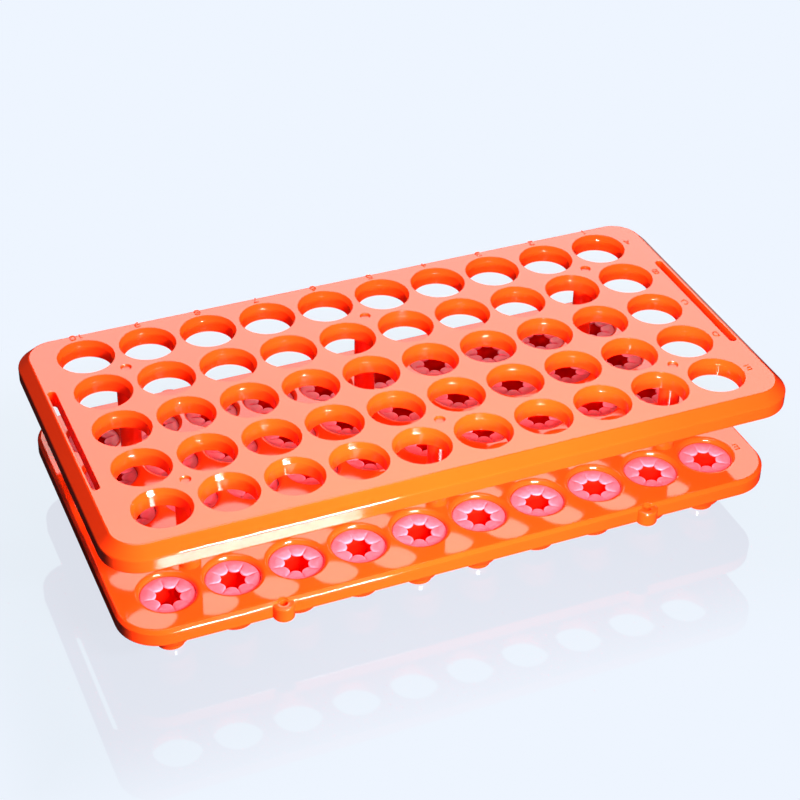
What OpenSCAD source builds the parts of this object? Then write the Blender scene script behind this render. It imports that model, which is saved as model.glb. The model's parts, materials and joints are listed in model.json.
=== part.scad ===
// Microcentrifuge tube rack: an upper plate with a grid of tube bores stands on
// six pillars over a lower plate, whose cups hold star-shaped silicone grips.
// Millimetres, +Z up. The origin is under the centre of the tube grid, at the
// level of the surface that the rack stands on.

/* [Tube grid] */
// Distance between the centres of neighbouring tubes
pitch = 14.4; // [14.2:0.1:18]
// Tubes along the rack
columns = 10; // [4:2:10]
// Tubes across the rack
rows = 5; // [3:1:5]
// Bore of a tube hole in the upper plate
bore_d = 11.4; // [9:0.1:11.6]
// Rounding of a tube hole's mouth
mouth_round = 0.8; // [0.2:0.1:1.1]

/* [Upper plate] */
// Height of the upper plate's top face above the surface
upper_top = 36.7; // [30:0.1:60]
// Thickness of the upper plate round the tube holes
upper_thickness = 4.1; // [3.2:0.1:4.6]
// Length of the top face beyond the end tubes' centres
upper_margin_x = 12.3; // [11.5:0.1:20]
// Width of the top face beyond the side tubes' centres
upper_margin_y = 9.2; // [7.5:0.1:16]
// Corner radius of the top face
upper_corner_r = 6.2; // [3:0.1:9]
// How far the top face lies towards the front of the tube grid's middle
upper_forward = 0.4; // [0:0.1:1]
// How far the sloped band reaches out from the top face
slope_out = 2.4; // [1.5:0.1:4]
// How far the sloped band drops
slope_drop = 2.3; // [1:0.1:3]
// How far the skirt's lower edge reaches out from the sloped band
skirt_out = 0.1; // [0.1:0.1:1]
// Depth of the skirt from the top face to its lower edge
skirt_depth = 5.6; // [4.8:0.1:10]
// Wall of the skirt at its lower edge
skirt_wall = 1.8; // [1.2:0.1:2.4]

/* [End slots and dimples] */
// Width of the slot at each end of the upper plate
slot_w = 1.8; // [1:0.1:2.2]
// Length of the slot at each end of the upper plate
slot_length = 36.8; // [10:0.2:60]
// Inset of the slot's middle line from the end of the top face
slot_inset = 1.5; // [1.2:0.1:2.2]
// Diameter of the dimple over each pillar
dimple_d = 2.2; // [1:0.1:3]
// Depth of the dimple over each pillar
dimple_depth = 1.0; // [0.3:0.1:1.3]

/* [Lower plate] */
// Height of the lower plate's top face above the surface
lower_top = 14.1; // [13:0.1:22]
// Thickness of the lower plate between the cups
lower_thickness = 2.0; // [1.8:0.1:2.8]
// Length of the flat beyond the end tubes' centres
lower_margin_x = 11.6; // [8.5:0.1:18]
// Width of the flat beyond the side tubes' centres
lower_margin_y = 11.2; // [8.5:0.1:15]
// Corner radius of the flat
lower_corner_r = 8.9; // [4:0.1:10]
// How far the falling border reaches out from the flat
border_out = 0.6; // [0.4:0.1:4]
// How far the border falls
border_drop = 1.1; // [0.2:0.1:1.5]
// How far the rim's lower edge reaches out from the border
rim_out = 0.1; // [0.1:0.1:1]
// Depth of the rim from the flat to its lower edge
rim_depth = 4.0; // [2.8:0.1:6]
// Wall of the rim at its lower edge
rim_wall = 1.6; // [1:0.1:2.4]

/* [Cups] */
// Diameter of the seat that takes a silicone grip
seat_d = 11.8; // [11:0.1:12.2]
// Rounding of a seat's mouth
seat_round = 0.8; // [0.2:0.1:0.9]
// Depth of a grip's top face below the flat
grip_depth = 1.1; // [0.8:0.1:1.6]
// Wall of a cup outside the seat
cup_wall = 1.0; // [0.8:0.1:1.1]
// Ledge that carries the grip
ledge_w = 0.9; // [0.5:0.1:1.4]
// Outer diameter of a cup's bottom
cup_bottom_d = 8.7; // [7:0.1:10]
// Wall of a cup beside its floor
cup_low_wall = 1.0; // [0.8:0.1:1.6]
// Thickness of a cup's floor
cup_floor = 1.2; // [0.8:0.1:2]
// Diameter of a foot under a cup
foot_d = 6.4; // [3:0.1:7]
// Height of a foot
foot_h = 2.0; // [0.8:0.1:3]

/* [Silicone grips] */
// Thickness of a grip
grip_t = 1.2; // [0.8:0.1:1.6]
// Radial clearance of a grip in its seat
grip_clearance = 0.05; // [0.02:0.01:0.2]
// Petals round the opening
petals = 8; // [6:1:10]
// Distance from the grip's centre to the end of a petal
petal_reach = 2.35; // [1.6:0.05:2.8]
// Radius of a petal's round end
petal_end_r = 1.55; // [1.5:0.01:1.6]
// Radius at which the petals start to slope towards the opening
petal_root_r = 4.8; // [4.2:0.1:5]
// How far a petal's end hangs below the grip's rim
petal_sag = 0.25; // [0.1:0.05:0.5]
// Thickness of a petal at its end
petal_end_t = 0.45; // [0.35:0.05:0.8]
// Width of the groove between two petals
groove_w = 0.3; // [0.2:0.05:0.5]
// Depth of the groove between two petals
groove_depth = 0.3; // [0.1:0.05:0.5]

/* [Pillars] */
// Diameter of a pillar
pillar_d = 4.9; // [4.2:0.1:5.2]
// Diameter of the spigot at each end of a pillar
spigot_d = 3.0; // [2:0.1:3.6]
// Length of the spigot at each end of a pillar
spigot_length = 1.2; // [0.6:0.1:1.3]
// Clearance round and past a spigot
spigot_clearance = 0.1; // [0.05:0.01:0.2]

/* [Eyelets and tabs] */
// Distance of each eyelet and tab from the middle of the rack
lug_x = 43.2; // [10:0.1:55]
// Outer diameter of an eyelet
eyelet_d = 4.8; // [3:0.1:7]
// Hole of an eyelet
eyelet_hole_d = 1.6; // [0.8:0.1:2.6]
// How far the tops of the eyelets and tabs lie below the flat
lug_drop = 0.5; // [0.2:0.1:1.5]
// Diameter of a rounded tab on the rear edge
tab_d = 4.8; // [3:0.1:8]
// How far a tab reaches past the rear edge
tab_reach = 0.8; // [0.4:0.1:1.5]

/* [Marks] */
// Height of a raised figure
figure_h = 2.0; // [1:0.1:2.2]
// Width of a figure's stroke
stroke_w = 0.3; // [0.2:0.05:0.4]
// How far a figure stands up from its plate
mark_raise = 0.2; // [0.1:0.05:0.4]
// Gap between the figures of a two-figure number
figure_gap = 0.6; // [0.4:0.1:1]
// Distance of the marks from the nearest tubes' centres
mark_offset = 8.1; // [7.6:0.1:8.1]

/* [Hidden] */
$fn = 64;
eps = 0.01;

row_letters = "ABCDE";
grid_x = (columns - 1) / 2 * pitch;
grid_y = (rows - 1) / 2 * pitch;
pillar_x = (columns / 2 - 1) * pitch;
pillar_y = (rows / 2 - 1) * pitch;

upper_x = grid_x + upper_margin_x;
upper_y = grid_y + upper_margin_y;
upper_under = upper_top - upper_thickness;
slot_x = upper_x - slot_inset;

lower_x = grid_x + lower_margin_x;
lower_y = grid_y + lower_margin_y;
lower_under = lower_top - lower_thickness;
rim_bottom = lower_top - rim_depth;
edge_y = lower_y + border_out;

grip_r = seat_d / 2 - grip_clearance;
grip_top = lower_top - grip_depth;
ledge_z = grip_top - grip_t;
ledge_r = seat_d / 2 - ledge_w;
cup_r = seat_d / 2 + cup_wall;
cup_cone_top = ledge_z - cup_wall;
cup_bottom_r = cup_bottom_d / 2;

petal_end_x = petal_reach + petal_end_r;
stroke_overlap = 0.38 * stroke_w;

function column_x(c) = c * pitch - grid_x;
function row_y(r) = r * pitch - grid_y;
function column_number(c) = str(columns - c);
function row_letter(r) = row_letters[rows - 1 - r];
function grip_name(c, r) = str("grip_", row_letter(r), column_number(c));
function pillar_name(p) = str("pillar_", p + 1);

// Column and side of each pillar: three along the rack, on both sides
pillar_places = [for (x = [-1, 0, 1], y = [-1, 1]) [x * pillar_x, y * pillar_y]];
// Columns whose front and rear cups have feet
foot_columns = [0, columns / 2 - 1, columns / 2, columns - 1];

// ---- Shared shapes ----

// Rounded rectangle prism whose sides lean: half sizes to the corner centres are
// x and y, and the corner radius goes from r_low at the bottom to r_high.
module leaning_prism(x, y, r_low, r_high, h) {
    rotate([90, 0, 0])
        linear_extrude(2 * y, center = true)
            polygon([[-x - r_low, 0], [x + r_low, 0], [x + r_high, h], [-x - r_high, h]]);
    rotate([90, 0, 90])
        linear_extrude(2 * x, center = true)
            polygon([[-y - r_low, 0], [y + r_low, 0], [y + r_high, h], [-y - r_high, h]]);
    for (sx = [-1, 1], sy = [-1, 1])
        translate([sx * x, sy * y, 0])
            cylinder(h = h, r1 = r_low, r2 = r_high);
}

// Plate blank, hollow below: a sloping band falls from the flat, then a steep
// band goes on down to the lower edge. Its flat top is at z = 0.
module plate_blank(x, y, corner_r, band_out, band_drop, low_out, depth, wall, thickness) {
    cx = x - corner_r;
    cy = y - corner_r;
    band_r = corner_r + band_out;
    low_r = band_r + low_out;
    difference() {
        union() {
            translate([0, 0, -band_drop])
                leaning_prism(cx, cy, band_r, corner_r, band_drop);
            translate([0, 0, -depth])
                leaning_prism(cx, cy, low_r, band_r, depth - band_drop);
        }
        translate([0, 0, -depth - eps])
            leaning_prism(cx, cy, low_r - wall, low_r - wall, depth - thickness + eps);
    }
}

// Cutter for a hole's rounded mouth: flares from radius r up to r + round at z = 0
module mouth_cutter(r, round) {
    rotate_extrude()
        difference() {
            translate([0, -round])
                square([r + round, round + eps]);
            translate([r + round, -round])
                circle(round);
        }
}

// A blind socket or a spigot, from z = 0 upwards
module spigot(d, length) {
    cylinder(h = length, d = d);
}

// Strokes of a figure or letter on a cell 4 wide and 6 high
function strokes(sign) =
    sign == "0" ? [[[1, 0], [0, 1], [0, 5], [1, 6], [3, 6], [4, 5], [4, 1], [3, 0], [1, 0]]] :
    sign == "1" ? [[[0.8, 4.8], [2, 6], [2, 0]]] :
    sign == "2" ? [[[0, 5], [1, 6], [3, 6], [4, 5], [4, 4], [0, 0], [4, 0]]] :
    sign == "3" ? [[[0, 5], [1, 6], [3, 6], [4, 5], [4, 4], [3, 3], [4, 2], [4, 1], [3, 0],
                    [1, 0], [0, 1]], [[1.4, 3], [3, 3]]] :
    sign == "4" ? [[[3, 0], [3, 6], [0, 2], [4, 2]]] :
    sign == "5" ? [[[4, 6], [0, 6], [0, 3.5], [3, 3.5], [4, 2.5], [4, 1], [3, 0], [1, 0], [0, 1]]] :
    sign == "6" ? [[[3.4, 6], [2, 6], [0, 4], [0, 1], [1, 0], [3, 0], [4, 1], [4, 2.5], [3, 3.5],
                    [0, 3.5]]] :
    sign == "7" ? [[[0, 6], [4, 6], [1.4, 0]]] :
    sign == "8" ? [[[1, 3.2], [0, 2.2], [0, 1], [1, 0], [3, 0], [4, 1], [4, 2.2], [3, 3.2],
                    [4, 4.2], [4, 5], [3, 6], [1, 6], [0, 5], [0, 4.2], [1, 3.2], [3, 3.2]]] :
    sign == "9" ? [[[0.6, 0], [2, 0], [4, 2], [4, 5], [3, 6], [1, 6], [0, 5], [0, 3.5],
                    [1, 2.5], [4, 2.5]]] :
    sign == "A" ? [[[0, 0], [2, 6], [4, 0]], [[0.7, 2], [3.3, 2]]] :
    sign == "B" ? [[[0, 0], [0, 6], [3, 6], [4, 5], [4, 4.2], [3, 3.2], [4, 2.2], [4, 1],
                    [3, 0], [0, 0]], [[0, 3.2], [3, 3.2]]] :
    sign == "C" ? [[[4, 5], [3, 6], [1, 6], [0, 5], [0, 1], [1, 0], [3, 0], [4, 1]]] :
    sign == "D" ? [[[0, 0], [0, 6], [2.4, 6], [4, 4.4], [4, 1.6], [2.4, 0], [0, 0]]] :
    [[[4, 6], [0, 6], [0, 0], [4, 0]], [[0, 3], [3, 3]]];

// One straight stroke between two points, which overlaps the next at its ends
module stroke(from, to) {
    run = to - from;
    translate((from + to) / 2)
        rotate(atan2(run[1], run[0]))
            square([norm(run) + 2 * stroke_overlap, stroke_w], center = true);
}

// Raised number or letter centred on the origin, which reads from the far side
module mark(signs) {
    cell = (figure_h - stroke_w) / 6;
    advance = 4 * cell + figure_gap;
    rotate(180)
        translate([0, 0, -eps])
            linear_extrude(mark_raise + eps)
                for (n = [0 : len(signs) - 1])
                    translate([(n - (len(signs) - 1) / 2) * advance - 2 * cell, -3 * cell])
                        for (line = strokes(signs[n]), k = [1 : len(line) - 1])
                            stroke(cell * line[k - 1], cell * line[k]);
}

module row_letter_marks() {
    for (r = [0 : rows - 1])
        translate([grid_x + mark_offset, row_y(r), 0])
            mark(row_letter(r));
}

module column_number_marks() {
    for (c = [0 : columns - 1])
        translate([column_x(c), grid_y + mark_offset, 0])
            mark(column_number(c));
}

// ---- Upper plate ----

module end_slot() {
    half_run = (slot_length - slot_w) / 2;
    translate([0, 0, -upper_thickness - eps])
        linear_extrude(upper_thickness + 2 * eps) {
            square([slot_w, 2 * half_run], center = true);
            for (s = [-1, 1])
                translate([0, s * half_run])
                    circle(d = slot_w);
        }
}

module tube_hole() {
    translate([0, 0, -upper_thickness - eps])
        cylinder(h = upper_thickness + 2 * eps, d = bore_d);
    mouth_cutter(bore_d / 2, mouth_round);
}

module upper_plate() {
    color("#ff5f1a")
        translate([0, 0, upper_top]) {
            difference() {
                translate([0, -upper_forward, 0])
                    plate_blank(upper_x, upper_y, upper_corner_r, slope_out, slope_drop,
                                skirt_out, skirt_depth, skirt_wall, upper_thickness);
                for (c = [0 : columns - 1], r = [0 : rows - 1])
                    translate([column_x(c), row_y(r), 0])
                        tube_hole();
                for (side = [-1, 1])
                    translate([side * slot_x, 0, 0])
                        end_slot();
                for (place = pillar_places)
                    translate(place) {
                        translate([0, 0, -dimple_depth])
                            cylinder(h = dimple_depth + eps, d = dimple_d);
                        translate([0, 0, -upper_thickness - eps])
                            spigot(spigot_d + 2 * spigot_clearance,
                                   spigot_length + spigot_clearance + eps);
                    }
            }
            row_letter_marks();
            column_number_marks();
        }
}

// ---- Lower plate ----

// Outside of one cup, from its floor up into the plate
module cup_body() {
    translate([0, 0, foot_h])
        cylinder(h = cup_cone_top - foot_h, r1 = cup_bottom_r, r2 = cup_r);
    translate([0, 0, cup_cone_top])
        cylinder(h = lower_under - cup_cone_top + eps, r = cup_r);
}

// Inside of one cup: the grip's seat, its ledge and the tapered well
module cup_space() {
    translate([0, 0, ledge_z])
        cylinder(h = grip_depth + grip_t + eps, d = seat_d);
    translate([0, 0, lower_top])
        mouth_cutter(seat_d / 2, seat_round);
    translate([0, 0, foot_h + cup_floor])
        cylinder(h = ledge_z - foot_h - cup_floor + eps,
                 r1 = cup_bottom_r - cup_low_wall, r2 = ledge_r);
}

module eyelet_body() {
    cylinder(h = rim_depth - lug_drop, d = eyelet_d);
}

module tab_body() {
    cylinder(h = rim_depth - lug_drop, d = tab_d);
}

module lower_plate() {
    color("#ff5f1a") {
        difference() {
            union() {
                translate([0, 0, lower_top])
                    plate_blank(lower_x, lower_y, lower_corner_r, border_out, border_drop,
                                rim_out, rim_depth, rim_wall, lower_thickness);
                for (c = [0 : columns - 1], r = [0 : rows - 1])
                    translate([column_x(c), row_y(r), 0])
                        cup_body();
                for (c = foot_columns, r = [0, rows - 1])
                    translate([column_x(c), row_y(r), 0])
                        cylinder(h = foot_h + eps, d = foot_d);
                for (side = [-1, 1]) {
                    translate([side * lug_x, -edge_y, rim_bottom])
                        eyelet_body();
                    translate([side * lug_x, edge_y + tab_reach - tab_d / 2, rim_bottom])
                        tab_body();
                }
            }
            for (c = [0 : columns - 1], r = [0 : rows - 1])
                translate([column_x(c), row_y(r), 0])
                    cup_space();
            for (side = [-1, 1])
                translate([side * lug_x, -edge_y, rim_bottom - eps])
                    cylinder(h = rim_depth + 2 * eps, d = eyelet_hole_d);
            for (place = pillar_places)
                translate([place[0], place[1], lower_top - spigot_length - spigot_clearance])
                    spigot(spigot_d + 2 * spigot_clearance,
                           spigot_length + spigot_clearance + eps);
        }
        translate([0, 0, lower_top])
            row_letter_marks();
    }
}

// ---- Pillars ----

module pillar(p) {
    color("#f04a12")
        translate([pillar_places[p][0], pillar_places[p][1], lower_top]) {
            cylinder(h = upper_under - lower_top, d = pillar_d);
            translate([0, 0, -spigot_length])
                spigot(spigot_d, spigot_length + eps);
            translate([0, 0, upper_under - lower_top - eps])
                spigot(spigot_d, spigot_length + eps);
        }
}

// ---- Silicone grips ----

// Star-shaped opening between the petals' round ends
module star_opening() {
    difference() {
        rotate(180 / petals)
            circle(r = petal_end_x, $fn = petals);
        for (k = [0 : petals - 1])
            rotate((k + 0.5) * 360 / petals)
                translate([petal_end_x, 0])
                    circle(petal_end_r);
    }
}

// Round disc that sags and thins towards the opening, with its top rim at z = 0
module grip_disc() {
    rotate_extrude()
        polygon([[0, -petal_end_t - petal_sag], [petal_reach, -petal_end_t - petal_sag],
                 [petal_root_r, -grip_t], [grip_r, -grip_t], [grip_r, 0],
                 [petal_root_r, 0], [petal_reach, -petal_sag], [0, -petal_sag]]);
}

module grip(c, r) {
    color("#ff8fa8")
        translate([column_x(c), row_y(r), grip_top])
            difference() {
                grip_disc();
                translate([0, 0, -grip_t - petal_sag - eps])
                    linear_extrude(grip_t + petal_sag + 2 * eps)
                        star_opening();
                for (k = [0 : petals - 1])
                    rotate(k * 360 / petals)
                        translate([petal_reach, -groove_w / 2, -petal_sag - groove_depth])
                            cube([petal_root_r - petal_reach, groove_w,
                                  petal_sag + groove_depth + eps]);
            }
}

upper_plate();
lower_plate();
for (p = [0 : len(pillar_places) - 1])
    pillar(p);
for (r = [0 : rows - 1], c = [0 : columns - 1])
    grip(c, r);
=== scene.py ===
# %% [markdown]
# # A rack for small tubes
# The rack is two moulded plates on six pillars, with fifty soft silicone grips in the lower plate.
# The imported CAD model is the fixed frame: it says where every piece goes and how large it is.
# This cell loads it, so that each later piece can be built to its places.

# %% The frame
import json
import math

import bmesh
import bpy
from mathutils import Matrix, Quaternion, Vector


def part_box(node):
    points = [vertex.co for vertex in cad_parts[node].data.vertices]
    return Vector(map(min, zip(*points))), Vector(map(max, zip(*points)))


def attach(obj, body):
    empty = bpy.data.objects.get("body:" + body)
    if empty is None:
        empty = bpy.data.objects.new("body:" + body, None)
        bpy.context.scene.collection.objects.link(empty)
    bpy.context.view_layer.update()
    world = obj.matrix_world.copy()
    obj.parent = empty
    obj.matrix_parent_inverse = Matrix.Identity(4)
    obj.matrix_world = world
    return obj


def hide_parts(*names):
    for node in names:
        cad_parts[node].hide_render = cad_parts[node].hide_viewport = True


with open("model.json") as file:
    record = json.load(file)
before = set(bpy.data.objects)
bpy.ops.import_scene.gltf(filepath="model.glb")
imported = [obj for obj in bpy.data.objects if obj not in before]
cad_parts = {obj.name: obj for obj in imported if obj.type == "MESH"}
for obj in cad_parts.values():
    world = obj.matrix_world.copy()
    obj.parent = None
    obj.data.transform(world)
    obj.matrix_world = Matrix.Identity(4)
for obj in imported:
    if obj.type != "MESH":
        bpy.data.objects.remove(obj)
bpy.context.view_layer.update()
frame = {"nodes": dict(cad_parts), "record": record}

MM = 0.001

# %% [markdown]
# Shapes are worked out in millimetres, as on a drawing, and turned to metres when a mesh is
# made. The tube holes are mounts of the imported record, so their axes and radius are read from
# it. The plates' levels come from the boxes of their nodes. The raised figures stand a little
# above each plate, so that height is taken off.

# %% Places that the frame gives
FIGURE_RAISE = 0.2
PILLARS = [f"pillar_{number}" for number in range(1, 7)]
mounts = frame["record"]["mounts"]
holes = {m["name"].split("_")[-1]: m for m in mounts if "tube_hole" in m["name"]}
tube_axes = {place: (m["pos_m"][0] / MM, m["pos_m"][1] / MM) for place, m in holes.items()}
bore_radius = holes["A1"]["dims"]["r_mm"]
grid_x = max(x for x, y in tube_axes.values())
grid_y = max(y for x, y in tube_axes.values())
pitch = tube_axes["A1"][0] - tube_axes["A2"][0]

upper_low, upper_high = (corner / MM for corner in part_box("upper_plate"))
lower_low, lower_high = (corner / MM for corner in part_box("lower_plate"))
grip_low, grip_high = (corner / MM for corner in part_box("grip_A1"))
upper_top = upper_high.z - FIGURE_RAISE
lower_top = lower_high.z - FIGURE_RAISE
pillar_boxes = [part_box(name) for name in PILLARS]
pillar_axes = [((low + high) / 2 / MM).to_2d() for low, high in pillar_boxes]
print(len(tube_axes), "tube holes, pitch", round(pitch, 2), "mm, plates at", round(upper_top, 2),
      "and", round(lower_top, 2), "mm")

# %% [markdown]
# ## Colour, and one way to add a node
# Screen colours are written as sRGB hex values. A renderer works in linear light, so one
# function turns the one into the other. A second small function adds a shader node with its
# settings and links, so that each material below reads as a short list of nodes.

# %% Colour and node helpers
def linear(hex_colour):
    """Linear RGBA of an sRGB hex value."""
    channels = [int(hex_colour[k:k + 2], 16) / 255 for k in (1, 3, 5)]
    return [c / 12.92 if c <= 0.04045 else ((c + 0.055) / 1.055) ** 2.4 for c in channels] + [1.0]


def add_node(tree, kind, inputs=None, **settings):
    """A node of that kind: settings are its own values, inputs are socket values or links."""
    node = tree.nodes.new(kind)
    for name, value in settings.items():
        setattr(node, name, value)
    for socket, value in (inputs or {}).items():
        if isinstance(value, bpy.types.NodeSocket):
            tree.links.new(value, node.inputs[socket])
        else:
            node.inputs[socket].default_value = value
    return node


def new_material(name):
    """An empty node material and its tree."""
    material = bpy.data.materials.new(name)
    material.use_nodes = True
    material.node_tree.nodes.clear()
    return material, material.node_tree


print("orange in linear light:", [round(v, 3) for v in linear("#ff3a0a")])

# %% [markdown]
# ## Glossy polypropylene
# Both plates and the pillars are injection-moulded polypropylene. The pigment is a deep orange-red:
# strong light makes it look orange, and shade shows its red. A polished steel mould leaves a
# surface like a soft mirror: it shows sharp reflections, with a faint orange-peel waviness,
# because the plastic shrinks a little as it cools. The pigment flows with the melt, which gives
# very soft, wide clouds of a slightly deeper tone. Inside the cups, light goes from wall to wall
# many times and only its red is left. That red is painted light: the lower plate's mesh carries a
# value named "deep" in the wells, and there the colour turns to a redder painted glow.
# Three noise textures do the rest: clouds in the colour, patches in the roughness, and the
# waviness as bump. A noise's scale is one divided by its real spacing in metres.

# %% The orange plastic
CLOUD_SPACING = 28 * MM
SHINE_SPACING = 6 * MM
PEEL_SPACING = 2.4 * MM
PEEL_HEIGHT = 0.0012 * MM
SMOOTHEST, ROUGHEST = 0.035, 0.085


def moulded_polypropylene(name, colour, cloud_colour, painted_glow_colour):
    """Polished mouldings: clouded pigment, sharp reflections and a faint waviness."""
    material, tree = new_material(name)
    place = add_node(tree, "ShaderNodeTexCoord").outputs["Object"]
    clouds = add_node(tree, "ShaderNodeTexNoise",
                      {"Vector": place, "Scale": 1 / CLOUD_SPACING, "Detail": 2.0})
    # Sockets 6 and 7 of a colour mix are its two colours, and output 2 is the mixed one
    pigment = add_node(tree, "ShaderNodeMix",
                       {"Factor": clouds.outputs["Fac"], 6: linear(colour),
                        7: linear(cloud_colour)}, data_type="RGBA")
    # In the wells, where the mesh value "deep" is 1, the colour turns to a redder painted glow.
    deep = add_node(tree, "ShaderNodeAttribute", attribute_name="deep").outputs["Fac"]
    pigment = add_node(tree, "ShaderNodeMix",
                       {"Factor": deep, 6: pigment.outputs[2], 7: linear(painted_glow_colour)},
                       data_type="RGBA")
    patches = add_node(tree, "ShaderNodeTexNoise",
                       {"Vector": place, "Scale": 1 / SHINE_SPACING, "Detail": 3.0})
    shine = add_node(tree, "ShaderNodeMapRange",
                     {"Value": patches.outputs["Fac"], "To Min": SMOOTHEST,
                      "To Max": ROUGHEST})
    peel = add_node(tree, "ShaderNodeTexNoise",
                    {"Vector": place, "Scale": 1 / PEEL_SPACING, "Detail": 1.0})
    waviness = add_node(tree, "ShaderNodeBump",
                        {"Height": peel.outputs["Fac"], "Distance": PEEL_HEIGHT})
    plastic = add_node(tree, "ShaderNodeBsdfPrincipled",
                       {"Base Color": pigment.outputs[2], "Roughness": shine.outputs["Result"],
                        "Normal": waviness.outputs["Normal"], "IOR": 1.5})
    add_node(tree, "ShaderNodeOutputMaterial", {"Surface": plastic.outputs["BSDF"]})
    return material


# ff1206 is the painted red glow in the wells.
orange_polypropylene = moulded_polypropylene("orange_polypropylene", "#ff3a0a", "#fb3408",
                                             "#ff1206")
print("made", orange_polypropylene.name)

# %% [markdown]
# ## Soft silicone
# The grips are moulded silicone rubber in pink. Silicone lets light in, and the body glows softly.
# Its skin is smooth but not polished, so highlights are broad. The mesh carries a value named
# "thin", which is 1 at the petals' ends and in the grooves between them, and the colour follows
# it: there it pales almost to white. That paleness is painted light, a painted highlight on the
# lips and grooves and a painted glow of the thin edges. Subsurface scattering does the body's glow.

# %% The pink silicone
MOTTLE_SPACING = 1.1 * MM
SKIN_SPACING = 0.35 * MM
SKIN_HEIGHT = 0.004 * MM
GLOW_DEPTH = 0.7 * MM
LEAST_MOTTLE, MOST_MOTTLE = -0.1, 0.18


def moulded_silicone(name, colour, painted_highlight_colour):
    """Soft rubber that pales where the mesh marks it thin: a painted highlight and painted glow."""
    material, tree = new_material(name)
    place = add_node(tree, "ShaderNodeTexCoord").outputs["Object"]
    thin = add_node(tree, "ShaderNodeAttribute", attribute_name="thin").outputs["Fac"]
    mottle = add_node(tree, "ShaderNodeTexNoise",
                      {"Vector": place, "Scale": 1 / MOTTLE_SPACING, "Detail": 2.0})
    uneven = add_node(tree, "ShaderNodeMapRange",
                      {"Value": mottle.outputs["Fac"], "From Min": 0.3, "From Max": 0.7,
                       "To Min": LEAST_MOTTLE, "To Max": MOST_MOTTLE})
    # The painted highlight and glow from the mesh value, plus random mottle, pale the pink.
    highlight_and_mottle = add_node(tree, "ShaderNodeMath", {0: thin, 1: uneven.outputs["Result"]},
                        operation="ADD", use_clamp=True)
    tint = add_node(tree, "ShaderNodeMix",
                    {"Factor": highlight_and_mottle.outputs["Value"], 6: linear(colour),
                     7: linear(painted_highlight_colour)}, data_type="RGBA")
    skin = add_node(tree, "ShaderNodeTexNoise",
                    {"Vector": place, "Scale": 1 / SKIN_SPACING, "Detail": 2.0})
    grain = add_node(tree, "ShaderNodeBump",
                     {"Height": skin.outputs["Fac"], "Distance": SKIN_HEIGHT})
    rubber = add_node(tree, "ShaderNodeBsdfPrincipled",
                      {"Base Color": tint.outputs[2], "Normal": grain.outputs["Normal"],
                       "Roughness": 0.5, "IOR": 1.41, "Subsurface Weight": 0.35,
                       "Subsurface Radius": (1.0, 0.45, 0.5), "Subsurface Scale": GLOW_DEPTH})
    add_node(tree, "ShaderNodeOutputMaterial", {"Surface": rubber.outputs["BSDF"]})
    return material


# ee6678 is the painted highlight colour of the lips and grooves.
pink_silicone = moulded_silicone("pink_silicone", "#d84a58", "#ee6678")
print("made", pink_silicone.name)

# %% [markdown]
# ## Paths with round corners
# A moulding has no knife edges: every corner has a small radius, and that radius is what
# catches the light. A section is written as a list of corners, each with its rounding, and this
# function draws each corner as an arc. The same path then serves a plate's edge, when its
# points are offsets of the outline, and a hole, when they are radii. On a long straight run, a
# point close to each end keeps the flat part's shading flat, so its reflections stay true.

# %% Rounded sections
ARC_STEPS = 6
LONG_RUN, GUARD = 0.7, 0.1


def rounded_path(corners, steps=ARC_STEPS, guarded=True, long_run=LONG_RUN):
    """Points (across, height) through corners (across, height, rounding)."""
    path = [Vector(corners[0][:2])]
    for before, (across, height, rounding), after in zip(corners, corners[1:], corners[2:]):
        here = Vector((across, height))
        back = (Vector(before[:2]) - here).normalized()
        on = (Vector(after[:2]) - here).normalized()
        half = back.angle(on) / 2
        centre = here + (back + on).normalized() * rounding / math.sin(half)
        start = here + back * rounding / math.tan(half) - centre
        end = here + on * rounding / math.tan(half) - centre
        sweep = math.atan2(start.x * end.y - start.y * end.x, start.dot(end))
        first = math.atan2(start.y, start.x)
        for step in range(steps + 1):
            angle = first + sweep * step / steps
            path.append(centre + rounding * Vector((math.cos(angle), math.sin(angle))))
    path.append(Vector(corners[-1][:2]))
    if not guarded:
        return path
    points = path[:1]
    for before, after in zip(path, path[1:]):
        run = after - before
        if run.length > long_run:
            points += [before + run.normalized() * GUARD, after - run.normalized() * GUARD]
        points.append(after)
    return points


print("a square corner of 1 mm:", len(rounded_path([(3, 0, 0), (0, 0, 1), (0, -3, 0)])), "points")

# %% [markdown]
# ## Rings, skins and fills
# A plate with fifty holes could be cut with booleans, but the cuts leave long thin faces that
# spoil a glossy surface. Here each feature is a stack of rings. A skin joins one ring to the
# next with four-sided faces, and a fill closes a flat face between an outline and the holes in
# it. A narrow flat ring beside each rounding keeps the big flat face's shading perfectly level.

# %% Mesh helpers
ON_AXIS = 1e-6


def ring(bm, points):
    """A closed row of vertices."""
    return [bm.verts.new(point) for point in points]


def skin(bm, rings):
    """Four-sided faces between each ring and the next."""
    for near, far in zip(rings, rings[1:]):
        for k in range(len(near)):
            bm.faces.new((near[k - 1], near[k], far[k], far[k - 1]))


def close_ring(bm, last_ring, centre):
    """A fan from a ring to one point."""
    middle = bm.verts.new(centre)
    for k in range(len(last_ring)):
        bm.faces.new((last_ring[k - 1], last_ring[k], middle))


def fill(bm, rings, normal):
    """A flat face inside the first ring, with the other rings as holes."""
    edges = [bm.edges.get((loop[k - 1], loop[k])) for loop in rings for k in range(len(loop))]
    bmesh.ops.triangle_fill(bm, use_beauty=True, edges=edges, normal=normal)


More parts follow.
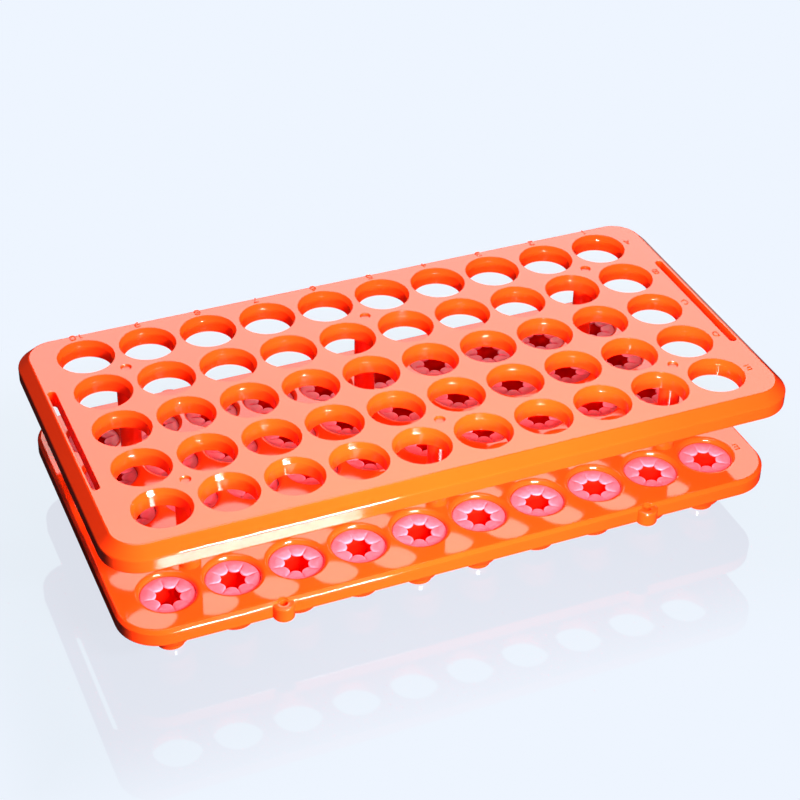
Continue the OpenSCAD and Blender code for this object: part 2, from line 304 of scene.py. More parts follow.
def turned(bm, centre, path, level, segments):
    """Rings of a turned feature: the path's points are radii and heights about a level."""
    rings = []
    for radius, height in path:
        if radius > ON_AXIS:
            rings.append(ring(bm, [
                (centre[0] + radius * math.cos(math.tau * k / segments),
                 centre[1] + radius * math.sin(math.tau * k / segments), level + height)
                for k in range(segments)]))
    skin(bm, rings)
    if path[-1].x <= ON_AXIS:
        close_ring(bm, rings[-1], (centre[0], centre[1], level + path[-1].y))
    return rings


def finished_piece(name, bm, replaced=None):
    """The mesh in metres as a smooth plastic piece that rides on the rack."""
    bmesh.ops.recalc_face_normals(bm, faces=bm.faces)
    mesh = bpy.data.meshes.new(name)
    bm.to_mesh(mesh)
    bm.free()
    mesh.transform(Matrix.Scale(MM, 4))
    mesh.shade_smooth()
    mesh.materials.append(orange_polypropylene)
    piece = bpy.data.objects.new(name, mesh)
    bpy.context.scene.collection.objects.link(piece)
    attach(piece, "root")
    if replaced:
        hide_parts(replaced)
    print(name, "has", len(mesh.polygons), "faces")


# %% [markdown]
# ## The outline of a plate
# Both plates are rectangles with round corners. Growing the half sizes and the corner radius
# together gives the next ring outwards, and all rings have as many points, so a skin can join
# them. The lower plate's rings also step inwards round the holes of its two eyelets. Where a
# ring should stay straight, its notches lie so far out that they flatten into the edge.

# %% Plate outlines
CORNER_STEPS = 14
NOTCH_STEPS = 12
LEAD = 0.35
NO_NOTCH_Y = -1000.0


def notch_points(centre_x, centre_y, radius, edge_y, z):
    """A half circle that leads inwards from the front edge, with a point beside each end."""
    arc = [(centre_x - radius * math.cos(math.pi * k / NOTCH_STEPS),
            max(edge_y, centre_y + radius * math.sin(math.pi * k / NOTCH_STEPS)), z)
           for k in range(NOTCH_STEPS + 1)]
    return [(centre_x - radius - LEAD, edge_y, z)] + arc + [(centre_x + radius + LEAD, edge_y, z)]


def outline(half_x, half_y, corner, z, middle_y=0.0, notches=(), notch_radius=0.0,
            notch_y=NO_NOTCH_Y):
    """A rectangle with round corners, counter-clockwise from the right side."""
    points = []
    for side_x, side_y, start in ((1, 1, 0), (-1, 1, 90), (-1, -1, 180), (1, -1, 270)):
        if start == 270:
            for x in notches:
                points += notch_points(x, notch_y, notch_radius, middle_y - half_y, z)
        for k in range(-1, CORNER_STEPS + 2):
            step = min(max(k, 0), CORNER_STEPS)
            angle = math.radians(start + 90 * step / CORNER_STEPS)
            lead = LEAD * (k - step)
            points.append((
                side_x * (half_x - corner) + corner * math.cos(angle) - lead * math.sin(angle),
                middle_y + side_y * (half_y - corner) + corner * math.sin(angle)
                + lead * math.cos(angle), z))
    return points


print("an outline has", len(outline(10, 5, 2, 0)), "points")

# %% [markdown]
# ## The upper plate
# The upper plate carries the tubes by their collars. Each hole has a flared mouth, so that a
# tube's tip finds it. Round the flat top runs a sloped band, then a steep skirt that stiffens
# the plate. A narrow slot lies near each end, and a small dimple marks each pillar, where the
# thicker plastic sank as it cooled. Each section below is a list of (across, height, rounding),
# and its ends are short leads on the flat faces, where the fills begin.

# %% The upper plate's sizes
UPPER_THICKNESS, UPPER_CORNER = 4.1, 6.2
SLOPE_OUT, SLOPE_DROP, SLOPE_ROUND = 2.5, 2.3, 0.6
SKIRT_DEPTH, SKIRT_WALL, SKIRT_ROUND = 5.6, 1.8, 0.35
MOUTH_OUT, MOUTH_DEPTH, HOLE_TAPER = 0.77, 1.2, 0.12
MOUTH_EDGE, MOUTH_ROUND = 0.15, 0.35
SLOT_WIDTH, SLOT_LENGTH, SLOT_INSET = 1.8, 36.8, 1.5
DIMPLE_RADIUS, DIMPLE_DEPTH = 1.2, 0.5
UPPER_TOP_LEAD, UPPER_UNDER_LEAD, HOLE_UNDER_LEAD, SLOT_LEAD = 0.35, 0.3, 0.4, 0.12
HOLE_SEGMENTS, DIMPLE_SEGMENTS, SLOT_STEPS = 64, 24, 12
INNER_ROUND = 0.3

upper_half_x = upper_high.x - SLOPE_OUT
upper_half_y = (upper_high.y - upper_low.y) / 2 - SLOPE_OUT
upper_middle_y = (upper_high.y + upper_low.y) / 2
skirt_inside = SLOPE_OUT - SKIRT_WALL
print("the upper flat is", round(2 * upper_half_x, 1), "by", round(2 * upper_half_y, 1), "mm")

# %% The upper plate's edge and holes
EDGE_RUN = 0.3

upper_edge = rounded_path([
    (-UPPER_TOP_LEAD, 0, 0), (0, 0, SLOPE_ROUND), (SLOPE_OUT, -SLOPE_DROP, SLOPE_ROUND),
    (SLOPE_OUT, -SKIRT_DEPTH, SKIRT_ROUND), (skirt_inside, -SKIRT_DEPTH, INNER_ROUND),
    (skirt_inside, -UPPER_THICKNESS, INNER_ROUND), (UPPER_UNDER_LEAD, -UPPER_THICKNESS, 0)],
    long_run=EDGE_RUN)
tube_hole = rounded_path([
    (bore_radius + MOUTH_OUT + MOUTH_EDGE, 0, 0), (bore_radius + MOUTH_OUT, 0, MOUTH_EDGE),
    (bore_radius + HOLE_TAPER, -MOUTH_DEPTH, MOUTH_ROUND),
    (bore_radius, -UPPER_THICKNESS, MOUTH_EDGE),
    (bore_radius + HOLE_UNDER_LEAD, -UPPER_THICKNESS, 0)])
dimple = rounded_path([
    (DIMPLE_RADIUS + 0.25, 0, 0), (DIMPLE_RADIUS, 0, 0.12),
    (DIMPLE_RADIUS - 0.1, -DIMPLE_DEPTH, 0.35), (0, -DIMPLE_DEPTH, 0)], steps=3)
slot_edge = rounded_path([
    (SLOT_LEAD, 0, 0), (0, 0, 0.1), (0, -UPPER_THICKNESS, 0.1),
    (SLOT_LEAD, -UPPER_THICKNESS, 0)], steps=3)


def slot_ring(centre_x, grow, z):
    """The outline of an end slot, grown by a margin."""
    radius = SLOT_WIDTH / 2 + grow
    run = (SLOT_LENGTH - SLOT_WIDTH) / 2
    return [(centre_x + radius * math.cos(math.radians(start + 180 * k / SLOT_STEPS)),
             side * run + radius * math.sin(math.radians(start + 180 * k / SLOT_STEPS)), z)
            for side, start in ((1, 0), (-1, 180)) for k in range(SLOT_STEPS + 1)]


print("a tube hole has", len(tube_hole), "rings of", HOLE_SEGMENTS, "points")

# %% Building the upper plate
bm = bmesh.new()
edge_rings = [ring(bm, outline(upper_half_x + out, upper_half_y + out, UPPER_CORNER + out,
                               upper_top + height, upper_middle_y)) for out, height in upper_edge]
skin(bm, edge_rings)
top_rings, under_rings = [edge_rings[0]], [edge_rings[-1]]
for centre in tube_axes.values():
    rings = turned(bm, centre, tube_hole, upper_top, HOLE_SEGMENTS)
    top_rings.append(rings[0])
    under_rings.append(rings[-1])
for side in (-1, 1):
    slot_x = side * (upper_half_x - SLOT_INSET)
    rings = [ring(bm, slot_ring(slot_x, grow, upper_top + height)) for grow, height in slot_edge]
    skin(bm, rings)
    top_rings.append(rings[0])
    under_rings.append(rings[-1])
for centre in pillar_axes:
    top_rings.append(turned(bm, centre, dimple, upper_top, DIMPLE_SEGMENTS)[0])
fill(bm, top_rings, (0, 0, 1))
fill(bm, under_rings, (0, 0, -1))
finished_piece("upper_plate_moulding", bm, "upper_plate")

# %% [markdown]
# ## The lower plate
# The lower plate holds a cup under each tube hole. A cup has a short seat for its grip, a ledge
# that carries it, and a tapered well that steadies the tube's tip. The flat falls away a little
# at its border and turns down into a rim. Eight of the cups have feet. Two eyelets stand on the
# front edge and two round tabs on the rear one. They overlap the rim as plain closed shells,
# because nobody can see inside solid plastic. A vertex inside a well gets the value "deep", and
# there the plastic's colour turns to a redder painted glow. It stands in for the red light
# that bounces round the cups.

# %% The lower plate's sizes
LOWER_THICKNESS, LOWER_CORNER = 2.0, 8.9
BORDER_OUT, BORDER_DROP, BORDER_ROUND = 0.66, 0.8, 0.45
RIM_OUT, RIM_DEPTH, RIM_WALL, RIM_PAST_EYELET = 0.04, 4.0, 1.6, 0.1
SEAT_RADIUS, SEAT_ROUND, GRIP_DEPTH, GRIP_THICKNESS = 6.0, 0.9, 1.1, 1.2
CUP_WALL, LEDGE_WIDTH = 1.0, 0.9
CUP_BOTTOM_RADIUS, CUP_LOW_WALL, CUP_FLOOR = 4.35, 1.0, 1.2
FOOT_RADIUS, FOOT_HEIGHT = 3.2, 2.0
EYELET_RADIUS, EYELET_HOLE_RADIUS, TAB_RADIUS = 2.4, 0.8, 2.4
LUG_X, LUG_DROP = 43.2, 0.5
EYELET_SEAM, TAB_SEAM = 1.6, 1.0
LOWER_TOP_LEAD, LOWER_UNDER_LEAD = 0.9, 1.5
SEAT_SEGMENTS, CUP_SEGMENTS, LUG_SEGMENTS = 48, 32, 32

lower_half_x = lower_high.x - BORDER_OUT - RIM_OUT
lower_edge_y = -lower_low.y - EYELET_RADIUS
lower_half_y = lower_edge_y + RIM_PAST_EYELET - BORDER_OUT - RIM_OUT
rim_inside = BORDER_OUT + RIM_OUT - RIM_WALL
ledge_depth = GRIP_DEPTH + GRIP_THICKNESS
cup_depth = lower_top - FOOT_HEIGHT
print("the lower flat is", round(2 * lower_half_x, 1), "by", round(2 * lower_half_y, 1), "mm")

# %% The lower plate's edge, cups and lugs
lower_edge = rounded_path([
    (-LOWER_TOP_LEAD, 0, 0), (0, 0, 0.5), (BORDER_OUT, -BORDER_DROP, BORDER_ROUND),
    (BORDER_OUT + RIM_OUT, -RIM_DEPTH, 0.4), (rim_inside, -RIM_DEPTH, INNER_ROUND),
    (rim_inside, -LOWER_THICKNESS, INNER_ROUND), (-LOWER_UNDER_LEAD, -LOWER_THICKNESS, 0)],
    long_run=EDGE_RUN)
cup_inside = rounded_path([
    (SEAT_RADIUS + SEAT_ROUND + 0.1, 0, 0), (SEAT_RADIUS, 0, SEAT_ROUND),
    (SEAT_RADIUS, -ledge_depth, 0.1), (SEAT_RADIUS - LEDGE_WIDTH, -ledge_depth, 0.2),
    (CUP_BOTTOM_RADIUS - CUP_LOW_WALL, CUP_FLOOR - cup_depth, 0.8), (0, CUP_FLOOR - cup_depth, 0)],
    steps=3)
CUP_SIDE = [
    (SEAT_RADIUS + CUP_WALL + 0.15, -LOWER_THICKNESS, 0),
    (SEAT_RADIUS + CUP_WALL, -LOWER_THICKNESS, 0.1),
    (SEAT_RADIUS + CUP_WALL, -ledge_depth - CUP_WALL, 1.0)]
plain_cup = rounded_path(CUP_SIDE + [(CUP_BOTTOM_RADIUS, -cup_depth, 0.6), (0, -cup_depth, 0)],
                         steps=3, guarded=False)
footed_cup = rounded_path(CUP_SIDE + [
    (CUP_BOTTOM_RADIUS, -cup_depth, 0.5), (FOOT_RADIUS, -cup_depth, 0.2),
    (FOOT_RADIUS, -lower_top, 0.4), (0, -lower_top, 0)], steps=3, guarded=False)
eyelet = rounded_path([
    (EYELET_SEAM, -LUG_DROP, 0), (EYELET_RADIUS, -LUG_DROP, 0.3),
    (EYELET_RADIUS, -RIM_DEPTH, 0.3), (EYELET_HOLE_RADIUS, -RIM_DEPTH, 0.15),
    (EYELET_HOLE_RADIUS, -LUG_DROP, 0.2), (EYELET_SEAM, -LUG_DROP, 0)], steps=4)
tab = rounded_path([
    (TAB_SEAM, -LUG_DROP, 0), (TAB_RADIUS, -LUG_DROP, 0.35), (TAB_RADIUS, -RIM_DEPTH, 0.3),
    (0, -RIM_DEPTH, 0)], steps=4)
print("a cup has", len(cup_inside), "rings inside and", len(plain_cup), "outside")

# %% The wells of the cups
DEEP_MARGIN, WALL_MARGIN = 0.05, 0.4


# Vertices on the wells get the painted red glow.
def in_well(point):
    """Whether a point lies on a cup's tapered well, below the ledge."""
    depth = lower_top - point.z
    well_depth = cup_depth - CUP_FLOOR
    if not ledge_depth + DEEP_MARGIN < depth < well_depth + DEEP_MARGIN:
        return False
    wide, narrow = SEAT_RADIUS - LEDGE_WIDTH, CUP_BOTTOM_RADIUS - CUP_LOW_WALL
    radius = wide + (narrow - wide) * (depth - ledge_depth) / (well_depth - ledge_depth)
    to_axis = min(math.dist(point.xy, centre) for centre in tube_axes.values())
    return to_axis < radius + WALL_MARGIN


print("wells are deep from", round(ledge_depth, 2), "to", round(cup_depth - CUP_FLOOR, 2), "mm")

# %% Building the lower plate
NOTCH_RADIUS = 1.2
NOTCH_START = -0.5
MERGE_DISTANCE = 1e-4
FOOT_PLACES = {row + column for row in "AE" for column in ("1", "5", "6", "10")}

bm = bmesh.new()
edge_rings = []
for out, height in lower_edge:
    notch_y = -lower_edge_y if out > NOTCH_START else NO_NOTCH_Y
    edge_rings.append(ring(bm, outline(
        lower_half_x + out, lower_half_y + out, LOWER_CORNER + out, lower_top + height,
        notches=(-LUG_X, LUG_X), notch_radius=NOTCH_RADIUS, notch_y=notch_y)))
skin(bm, edge_rings)
top_rings, under_rings = [edge_rings[0]], [edge_rings[-1]]
for place, centre in tube_axes.items():
    outside = footed_cup if place in FOOT_PLACES else plain_cup
    top_rings.append(turned(bm, centre, cup_inside, lower_top, SEAT_SEGMENTS)[0])
    under_rings.append(turned(bm, centre, outside, lower_top, CUP_SEGMENTS)[0])
fill(bm, top_rings, (0, 0, 1))
fill(bm, under_rings, (0, 0, -1))
tab_y = lower_high.y - TAB_RADIUS
for lug_x in (-LUG_X, LUG_X):
    turned(bm, (lug_x, -lower_edge_y), eyelet, lower_top, LUG_SEGMENTS)
    tab_rings = turned(bm, (lug_x, tab_y), tab, lower_top, LUG_SEGMENTS)
    close_ring(bm, tab_rings[0], (lug_x, tab_y, lower_top - LUG_DROP))
bmesh.ops.remove_doubles(bm, verts=bm.verts, dist=MERGE_DISTANCE)
# Wells get the value 1, which paints their redder glow.
painted_glow_layer = bm.verts.layers.float.new("deep")
for vertex in bm.verts:
    vertex[painted_glow_layer] = float(in_well(vertex.co))
finished_piece("lower_plate_moulding", bm, "lower_plate")

# %% [markdown]
# ## Raised figures
# Each tube's place has a letter and a number, as on a map. The figures are cut into the mould
# with a ball-ended cutter, so on the plate they stand up as fine round beads. Each is drawn as
# strokes on a cell of 4 by 6 units, and a bevelled curve lays a bead along them, half sunk in
# the plastic. They read from the far side of the rack.

# %% The figures' strokes
STROKES = {
    "0": [[(1, 0), (0, 1), (0, 5), (1, 6), (3, 6), (4, 5), (4, 1), (3, 0), (1, 0)]],
    "1": [[(0.8, 4.8), (2, 6), (2, 0)]],
    "2": [[(0, 5), (1, 6), (3, 6), (4, 5), (4, 4), (0, 0), (4, 0)]],
    "3": [[(0, 5), (1, 6), (3, 6), (4, 5), (4, 4), (3, 3), (4, 2), (4, 1), (3, 0), (1, 0), (0, 1)],
          [(1.4, 3), (3, 3)]],
    "4": [[(3, 0), (3, 6), (0, 2), (4, 2)]],
    "5": [[(4, 6), (0, 6), (0, 3.5), (3, 3.5), (4, 2.5), (4, 1), (3, 0), (1, 0), (0, 1)]],
    "6": [[(3.4, 6), (2, 6), (0, 4), (0, 1), (1, 0), (3, 0), (4, 1), (4, 2.5), (3, 3.5), (0, 3.5)]],
    "7": [[(0, 6), (4, 6), (1.4, 0)]],
    "8": [[(1, 3.2), (0, 2.2), (0, 1), (1, 0), (3, 0), (4, 1), (4, 2.2), (3, 3.2), (4, 4.2),
           (4, 5), (3, 6), (1, 6), (0, 5), (0, 4.2), (1, 3.2), (3, 3.2)]],
    "9": [[(0.6, 0), (2, 0), (4, 2), (4, 5), (3, 6), (1, 6), (0, 5), (0, 3.5), (1, 2.5), (4, 2.5)]],
    "A": [[(0, 0), (2, 6), (4, 0)], [(0.7, 2), (3.3, 2)]],
    "B": [[(0, 0), (0, 6), (3, 6), (4, 5), (4, 4.2), (3, 3.2), (4, 2.2), (4, 1), (3, 0), (0, 0)],
          [(0, 3.2), (3, 3.2)]],
    "C": [[(4, 5), (3, 6), (1, 6), (0, 5), (0, 1), (1, 0), (3, 0), (4, 1)]],
    "D": [[(0, 0), (0, 6), (2.4, 6), (4, 4.4), (4, 1.6), (2.4, 0), (0, 0)]],
    "E": [[(4, 6), (0, 6), (0, 0), (4, 0)], [(0, 3), (3, 3)]],
}
CELL_WIDTH, CELL_HEIGHT = 4, 6
FIGURE_HEIGHT, BEAD_RADIUS, FIGURE_GAP, FIGURE_OFFSET = 2.0, 0.16, 0.6, 8.1
print(len(STROKES), "figures")

# %% Laying the beads
def figure_lines(text, centre):
    """Polylines of a number or letter, turned half round to read from the far side."""
    cell = (FIGURE_HEIGHT - 2 * BEAD_RADIUS) / CELL_HEIGHT
    advance = CELL_WIDTH * cell + FIGURE_GAP
    lines = []
    for n, sign in enumerate(text):
        shift = (n - (len(text) - 1) / 2) * advance
        lines += [[(centre[0] - (shift + (x - CELL_WIDTH / 2) * cell),
                    centre[1] - (y - CELL_HEIGHT / 2) * cell)
                   for x, y in line] for line in STROKES[sign]]
    return lines


def figure_beads(name, lines, level):
    """A piece of round beads along the lines, half sunk in a face at that level."""
    curve = bpy.data.curves.new(name, "CURVE")
    curve.dimensions = "3D"
    curve.bevel_depth = BEAD_RADIUS * MM
    curve.bevel_resolution = 2
    curve.use_fill_caps = True
    for line in lines:
        spline = curve.splines.new("POLY")
        spline.points.add(len(line) - 1)
        for point, (x, y) in zip(spline.points, line):
            point.co = (x * MM, y * MM, level * MM, 1)
    drawn = bpy.data.objects.new(name, curve)
    bm = bmesh.new()
    bm.from_mesh(drawn.to_mesh())
    drawn.to_mesh_clear()
    bpy.data.objects.remove(drawn)
    bmesh.ops.transform(bm, matrix=Matrix.Scale(1 / MM, 4), verts=bm.verts)
    finished_piece(name, bm)


rows = {place[0]: axis[1] for place, axis in tube_axes.items()}
columns = {place[1:]: axis[0] for place, axis in tube_axes.items()}
row_lines = [line for letter, y in rows.items()
             for line in figure_lines(letter, (grid_x + FIGURE_OFFSET, y))]
column_lines = [line for number, x in columns.items()
                for line in figure_lines(number, (x, grid_y + FIGURE_OFFSET))]
figure_beads("upper_figures", row_lines + column_lines, upper_top)
figure_beads("lower_figures", row_lines, lower_top)

# %% [markdown]
# ## A silicone grip
# A grip is a soft disc with eight petals round a star-shaped opening. The petals bend down as a
# tube goes in and hold its tip. Each is a little cushion: it bulges between two grooves, slopes
# towards the opening and ends in a round lip. One mesh serves all fifty grips. It is a polar
# grid: rows of points run from the opening outwards, and the angles lie closer together near
# the grooves, where the shape changes fast.

# %% The grip's sizes
PETALS = 8
PETAL_REACH, PETAL_END_RADIUS, PETAL_ROOT, PETAL_TIP = 2.5, 1.62, 4.8, 0.45
PETAL_SAG, PETAL_BULGE, GROOVE_DEPTH, GROOVE_HALF_WIDTH = 0.15, 0.2, 0.22, 0.17
LIP_WIDTH, LIP_THINNEST, BULGE_START, PALE_HALF_WIDTH = 0.35, 0.3, 5.2, 0.22
GRIP_RADIUS = (grip_high.x - grip_low.x) / 2 + 0.1
PETAL_ANGLE = 360 / PETALS
PETAL_SHARES = (-0.5, -0.475, -0.44, -0.38, -0.28, -0.15, 0, 0.15, 0.28, 0.38, 0.44, 0.475)
print("a grip is", round(2 * GRIP_RADIUS, 2), "mm across")

# %% The grip's surface
def petal_end(turn):
    """Radius at which a petal ends, at an angle from its middle."""
    middle = PETAL_REACH + PETAL_END_RADIUS
    return middle * math.cos(turn) - math.sqrt(
        PETAL_END_RADIUS ** 2 - (middle * math.sin(turn)) ** 2)


def ease(value):
    """A smooth step from 0 to 1."""
    value = min(1.0, max(0.0, value))
    return value * value * (3 - 2 * value)


def petal_height(radius, turn):
    """Height of the upper skin below or above the grip's flat rim."""
    run = (BULGE_START - radius) / (BULGE_START - petal_end(turn))
    share = turn / math.radians(PETAL_ANGLE)
    along = math.pi * min(1, max(0, run)) ** 0.7
    bulge = PETAL_BULGE * math.cos(math.pi * share) ** 0.7 * math.sin(along)
    to_groove = radius * math.radians(PETAL_ANGLE) * (0.5 - abs(share))
    groove = GROOVE_DEPTH * math.exp(-(to_groove / GROOVE_HALF_WIDTH) ** 2) * ease(2.5 * run)
    return bulge - groove - PETAL_SAG * ease((PETAL_ROOT - radius) / (PETAL_ROOT - PETAL_REACH))


def grip_column(turn):
    """(radius, height, share of painted highlight) from the petal's underside over its end to the
    grip's rim.
    """
    inner = petal_end(turn)
    lip = inner + LIP_WIDTH
    top = petal_height(lip, turn)
    under = min(top - LIP_THINNEST, -PETAL_SAG - PETAL_TIP)
    share = abs(turn) / math.radians(PETAL_ANGLE)
    to_groove = (0.5 - share) * math.radians(PETAL_ANGLE) * inner
    in_groove = math.exp(-(to_groove / PALE_HALF_WIDTH) ** 2)
    middle = (top + under) / 2
    # The last value of each point is its painted highlight share: full on the lip, fading over the
    # top, and along the grooves.
    column = [(PETAL_ROOT, -GRIP_THICKNESS, 0), (inner + 0.5, under - 0.06, 0.4),
              (inner + 0.14, under, 0.8), (inner + 0.03, under + 0.06, 1), (inner, middle, 1),
              (inner + 0.03, top - 0.13, 1), (inner + 0.13, top - 0.03, 1), (lip, top, 0.8)]
    for step in (0.2, 0.4, 0.6, 0.8, 1.0):
        radius = lip + (PETAL_ROOT - lip) * step
        column.append((radius, petal_height(radius, turn),
                       max(0.45 * (1 - step) ** 2, 0.6 * in_groove * (1 - step * step))))
    column += [(PETAL_ROOT + 0.3, petal_height(PETAL_ROOT + 0.3, turn), 0),
               (GRIP_RADIUS - 0.25, 0, 0), (GRIP_RADIUS - 0.07, -0.07, 0),
               (GRIP_RADIUS, -0.25, 0), (GRIP_RADIUS, -GRIP_THICKNESS + 0.1, 0),
               (GRIP_RADIUS - 0.1, -GRIP_THICKNESS, 0), (PETAL_ROOT + 0.3, -GRIP_THICKNESS, 0)]
    return column


print("a petal is", round(PETAL_ROOT - petal_end(0), 2), "mm long")

# %% Building the grip's mesh
bm = bmesh.new()
# The mesh value "thin" holds each point's painted highlight share.
painted_highlight_layer = bm.verts.layers.float.new("thin")
columns_of_points = []
for petal in range(PETALS):
    for share in PETAL_SHARES:
        angle = math.radians((petal + 0.5 + share) * PETAL_ANGLE)
        turn = math.radians(share * PETAL_ANGLE)
        row = []
        for radius, height, painted_highlight_share in grip_column(turn):
            vertex = bm.verts.new((radius * math.cos(angle), radius * math.sin(angle), height))
            vertex[painted_highlight_layer] = painted_highlight_share
            row.append(vertex)
        columns_of_points.append(row)
for near, far in zip(columns_of_points, columns_of_points[1:] + columns_of_points[:1]):
    for k in range(len(near)):
        bm.faces.new((near[k - 1], near[k], far[k], far[k - 1]))
bmesh.ops.recalc_face_normals(bm, faces=bm.faces)
bmesh.ops.scale(bm, vec=(MM, MM, MM), verts=bm.verts)
grip_mesh = bpy.data.meshes.new("grip_moulding")
bm.to_mesh(grip_mesh)
bm.free()
grip_mesh.shade_smooth()
grip_mesh.materials.append(pink_silicone)
print("a grip has", len(grip_mesh.polygons), "faces")

# %% Seating the fifty grips
grip_top = lower_top - GRIP_DEPTH
for place, (x, y) in tube_axes.items():
    grip = bpy.data.objects.new(f"soft_grip_{place}", grip_mesh)
    grip.location = (x * MM, y * MM, grip_top * MM)
    bpy.context.scene.collection.objects.link(grip)
    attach(grip, "root")
    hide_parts(f"grip_{place}")
print("seated", len(tube_axes), "grips at", round(grip_top, 2), "mm")

# %% [markdown]
# ## The pillars
# The pillars are plain round mouldings, and the CAD cylinders are already right. They only get
# the plastic.

# %% Dressing the pillars
for name in PILLARS:
    pillar = frame["nodes"][name]
    pillar.data.materials.clear()
    pillar.data.materials.append(orange_polypropylene)
    pillar.data.shade_smooth()
print("dressed", len(PILLARS), "pillars")

# %% [markdown]
# ## Camera, floor and light
# The camera stands in front of the rack, to its left and above, and looks down at it through a
# long lens. The floor is a glazed board that looks pale to the camera and throws little light
# back. It keeps a faint mirror image close to the rack. There the board is also painted a greyer
# colour, a painted darkening round the rack, and both fade out farther away.
# A large soft panel behind the rack lies where the flat tops mirror it into the camera, so
# they get a broad even sheen. A panel far above fills the shade. The main light comes from two
# bar lamps, low and close in front, one above the other. Mirror rays see a third bar in their
# place, which draws thin white lines along the edges. The floor mirrors it into the skirt and
# the front holes. A flat strip just above the floor, seen by mirror rays alone, adds to that.

# %% The camera
camera_place = Vector((-145.33, -331.25, 290.81)) * MM
camera_aim = Vector((4.81, 11.08, 18.35)) * MM
CAMERA_ROLL = math.radians(1.51)
camera_data = bpy.data.cameras.new("camera")
camera_data.sensor_width = 36
camera_data.lens = 88.5
camera = bpy.data.objects.new("camera", camera_data)
camera.location = camera_place
camera.rotation_mode = "QUATERNION"
camera.rotation_quaternion = ((camera_aim - camera_place).to_track_quat("-Z", "Y")
                              @ Quaternion((0, 0, 1), CAMERA_ROLL))
bpy.context.scene.collection.objects.link(camera)
bpy.context.scene.camera = camera
print("camera", round((camera_aim - camera_place).length, 3), "m from the rack")

# %% The floor
FLOOR_COLOUR = "#eef5ff"
FLOOR_SIZE = 8
# Where the painted greyer zone and the mirror image fade out, on each side of the rack.
FADES = [("Y", -48, -82), ("Y", 58, 92), ("X", -92, -118), ("X", 88, 118)]


def glazed_board(name, colour, near_painted_grey, far_colour):
    """A dim board that looks pale to the camera alone; near the rack it is painted greyer, and that
    painted darkening and the mirror image fade outwards.
    """
    material, tree = new_material(name)
    board = add_node(tree, "ShaderNodeBsdfPrincipled",
                     {"Base Color": linear(colour), "Roughness": 0.03, "IOR": 1.45,
                      "Specular IOR Level": 0.2, "Specular Tint": linear("#b8ffff")})
    camera_ray = add_node(tree, "ShaderNodeLightPath").outputs["Is Camera Ray"]
    glow = add_node(tree, "ShaderNodeEmission",
                    {"Color": linear(near_painted_grey), "Strength": camera_ray})
    near = add_node(tree, "ShaderNodeAddShader",
                    {0: board.outputs["BSDF"], 1: glow.outputs["Emission"]})
    far = add_node(tree, "ShaderNodeEmission", {"Color": linear(far_colour)})
    place = add_node(tree, "ShaderNodeTexCoord").outputs["Object"]
    along = add_node(tree, "ShaderNodeSeparateXYZ", {"Vector": place}).outputs
    faded = 0.0
    for axis, start, end in FADES:
        fade = add_node(tree, "ShaderNodeMapRange",
                        {"Value": along[axis], "From Min": start * MM, "From Max": end * MM},
                        interpolation_type="SMOOTHSTEP")
        faded = add_node(tree, "ShaderNodeMath", {0: fade.outputs["Result"], 1: faded},
                         operation="MAXIMUM").outputs["Value"]
    share = add_node(tree, "ShaderNodeMath", {0: faded, 1: camera_ray}, operation="MULTIPLY")
    both = add_node(tree, "ShaderNodeMixShader", {
        "Fac": share.outputs["Value"], 1: near.outputs["Shader"], 2: far.outputs["Emission"]})
    add_node(tree, "ShaderNodeOutputMaterial", {"Surface": both.outputs["Shader"]})
    return material


bpy.ops.mesh.primitive_plane_add(size=FLOOR_SIZE, location=(0, 0, 0))
floor = bpy.context.object
floor.name = "floor"
# dce0ea is the painted darkening near the rack; the far colour is the plain floor.
floor.data.materials.append(glazed_board("glazed_board", "#1b1c1f", "#dce0ea", FLOOR_COLOUR))
print("floor at", floor.location.z)

# %% A lamp
POWER_PER_RADIANCE = 4


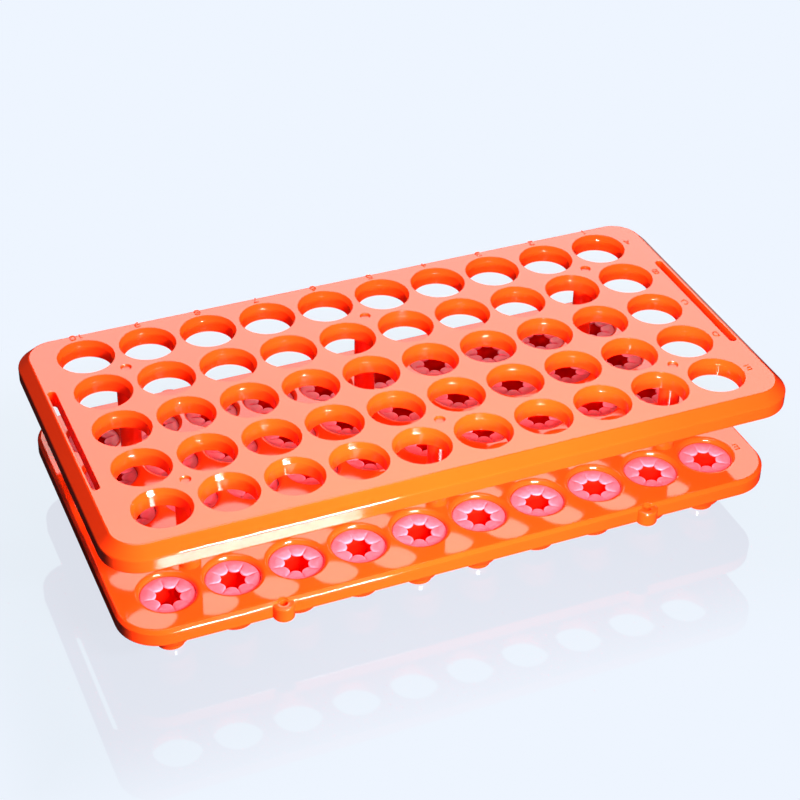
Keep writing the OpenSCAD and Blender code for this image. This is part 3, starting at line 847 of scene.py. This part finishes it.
def softbox(name, place, aim, width, height, radiance, colour="#ffffff"):
    """A rectangular lamp; its place, its aim and its sizes are in millimetres."""
    lamp = bpy.data.lights.new(name, "AREA")
    lamp.shape = "RECTANGLE"
    lamp.size, lamp.size_y = width * MM, height * MM
    lamp.energy = radiance * POWER_PER_RADIANCE * lamp.size * lamp.size_y
    lamp.color = linear(colour)[:3]
    holder = bpy.data.objects.new(name, lamp)
    holder.location = Vector(place) * MM
    holder.rotation_mode = "QUATERNION"
    holder.rotation_quaternion = (Vector(place) - Vector(aim)).to_track_quat("Z", "Y")
    bpy.context.scene.collection.objects.link(holder)
    return holder


print("a lamp's power is", POWER_PER_RADIANCE, "times its radiance and area")

# %% The lamps
BAR_X, BAR_WIDTH, BAR_HEIGHT = -9.5, 61, 15
GLINT_X, GLINT_Y = -38, -76.5

softbox("back_panel", (992, 2228, 1782), (5, 11, 18), 1900, 1800, 3.3, "#fffff4")
bar_lamp = softbox("bar_lamp", (BAR_X, -155, 68.5), (BAR_X, -41, 40), BAR_WIDTH, BAR_HEIGHT, 400)
bar_lamp.visible_diffuse = False
for name, height, radiance in (("low_key", 68.5, 200), ("high_key", 120, 280)):
    key = softbox(name, (BAR_X, -160, height), (BAR_X, -41, 38), BAR_WIDTH, BAR_HEIGHT, radiance)
    key.visible_camera = key.visible_glossy = False
softbox("ceiling_panel", (0, 0, 1500), (0, 0, 0), 1000, 800, 3.3)
floor_glint = softbox("floor_glint", (GLINT_X, GLINT_Y, 1), (GLINT_X, GLINT_Y, 50), 43, 9, 2)
floor_glint.visible_camera = floor_glint.visible_diffuse = False
print(len(bpy.data.lights), "lamps")

# %% The studio's glow
GLOW_ON_RACK = 0.05

world = bpy.data.worlds.new("studio")
world.use_nodes = True
world.node_tree.nodes.clear()
rays = add_node(world.node_tree, "ShaderNodeLightPath")
glow = add_node(world.node_tree, "ShaderNodeMix",
                {"Factor": rays.outputs["Is Camera Ray"], "A": GLOW_ON_RACK, "B": 1.0})
sky = add_node(world.node_tree, "ShaderNodeBackground",
               {"Color": linear(FLOOR_COLOUR), "Strength": glow.outputs["Result"]})
add_node(world.node_tree, "ShaderNodeOutputWorld", {"Surface": sky.outputs["Background"]})
bpy.context.scene.world = world
bpy.context.scene.view_settings.view_transform = "Standard"
print("a studio as pale as", FLOOR_COLOUR)
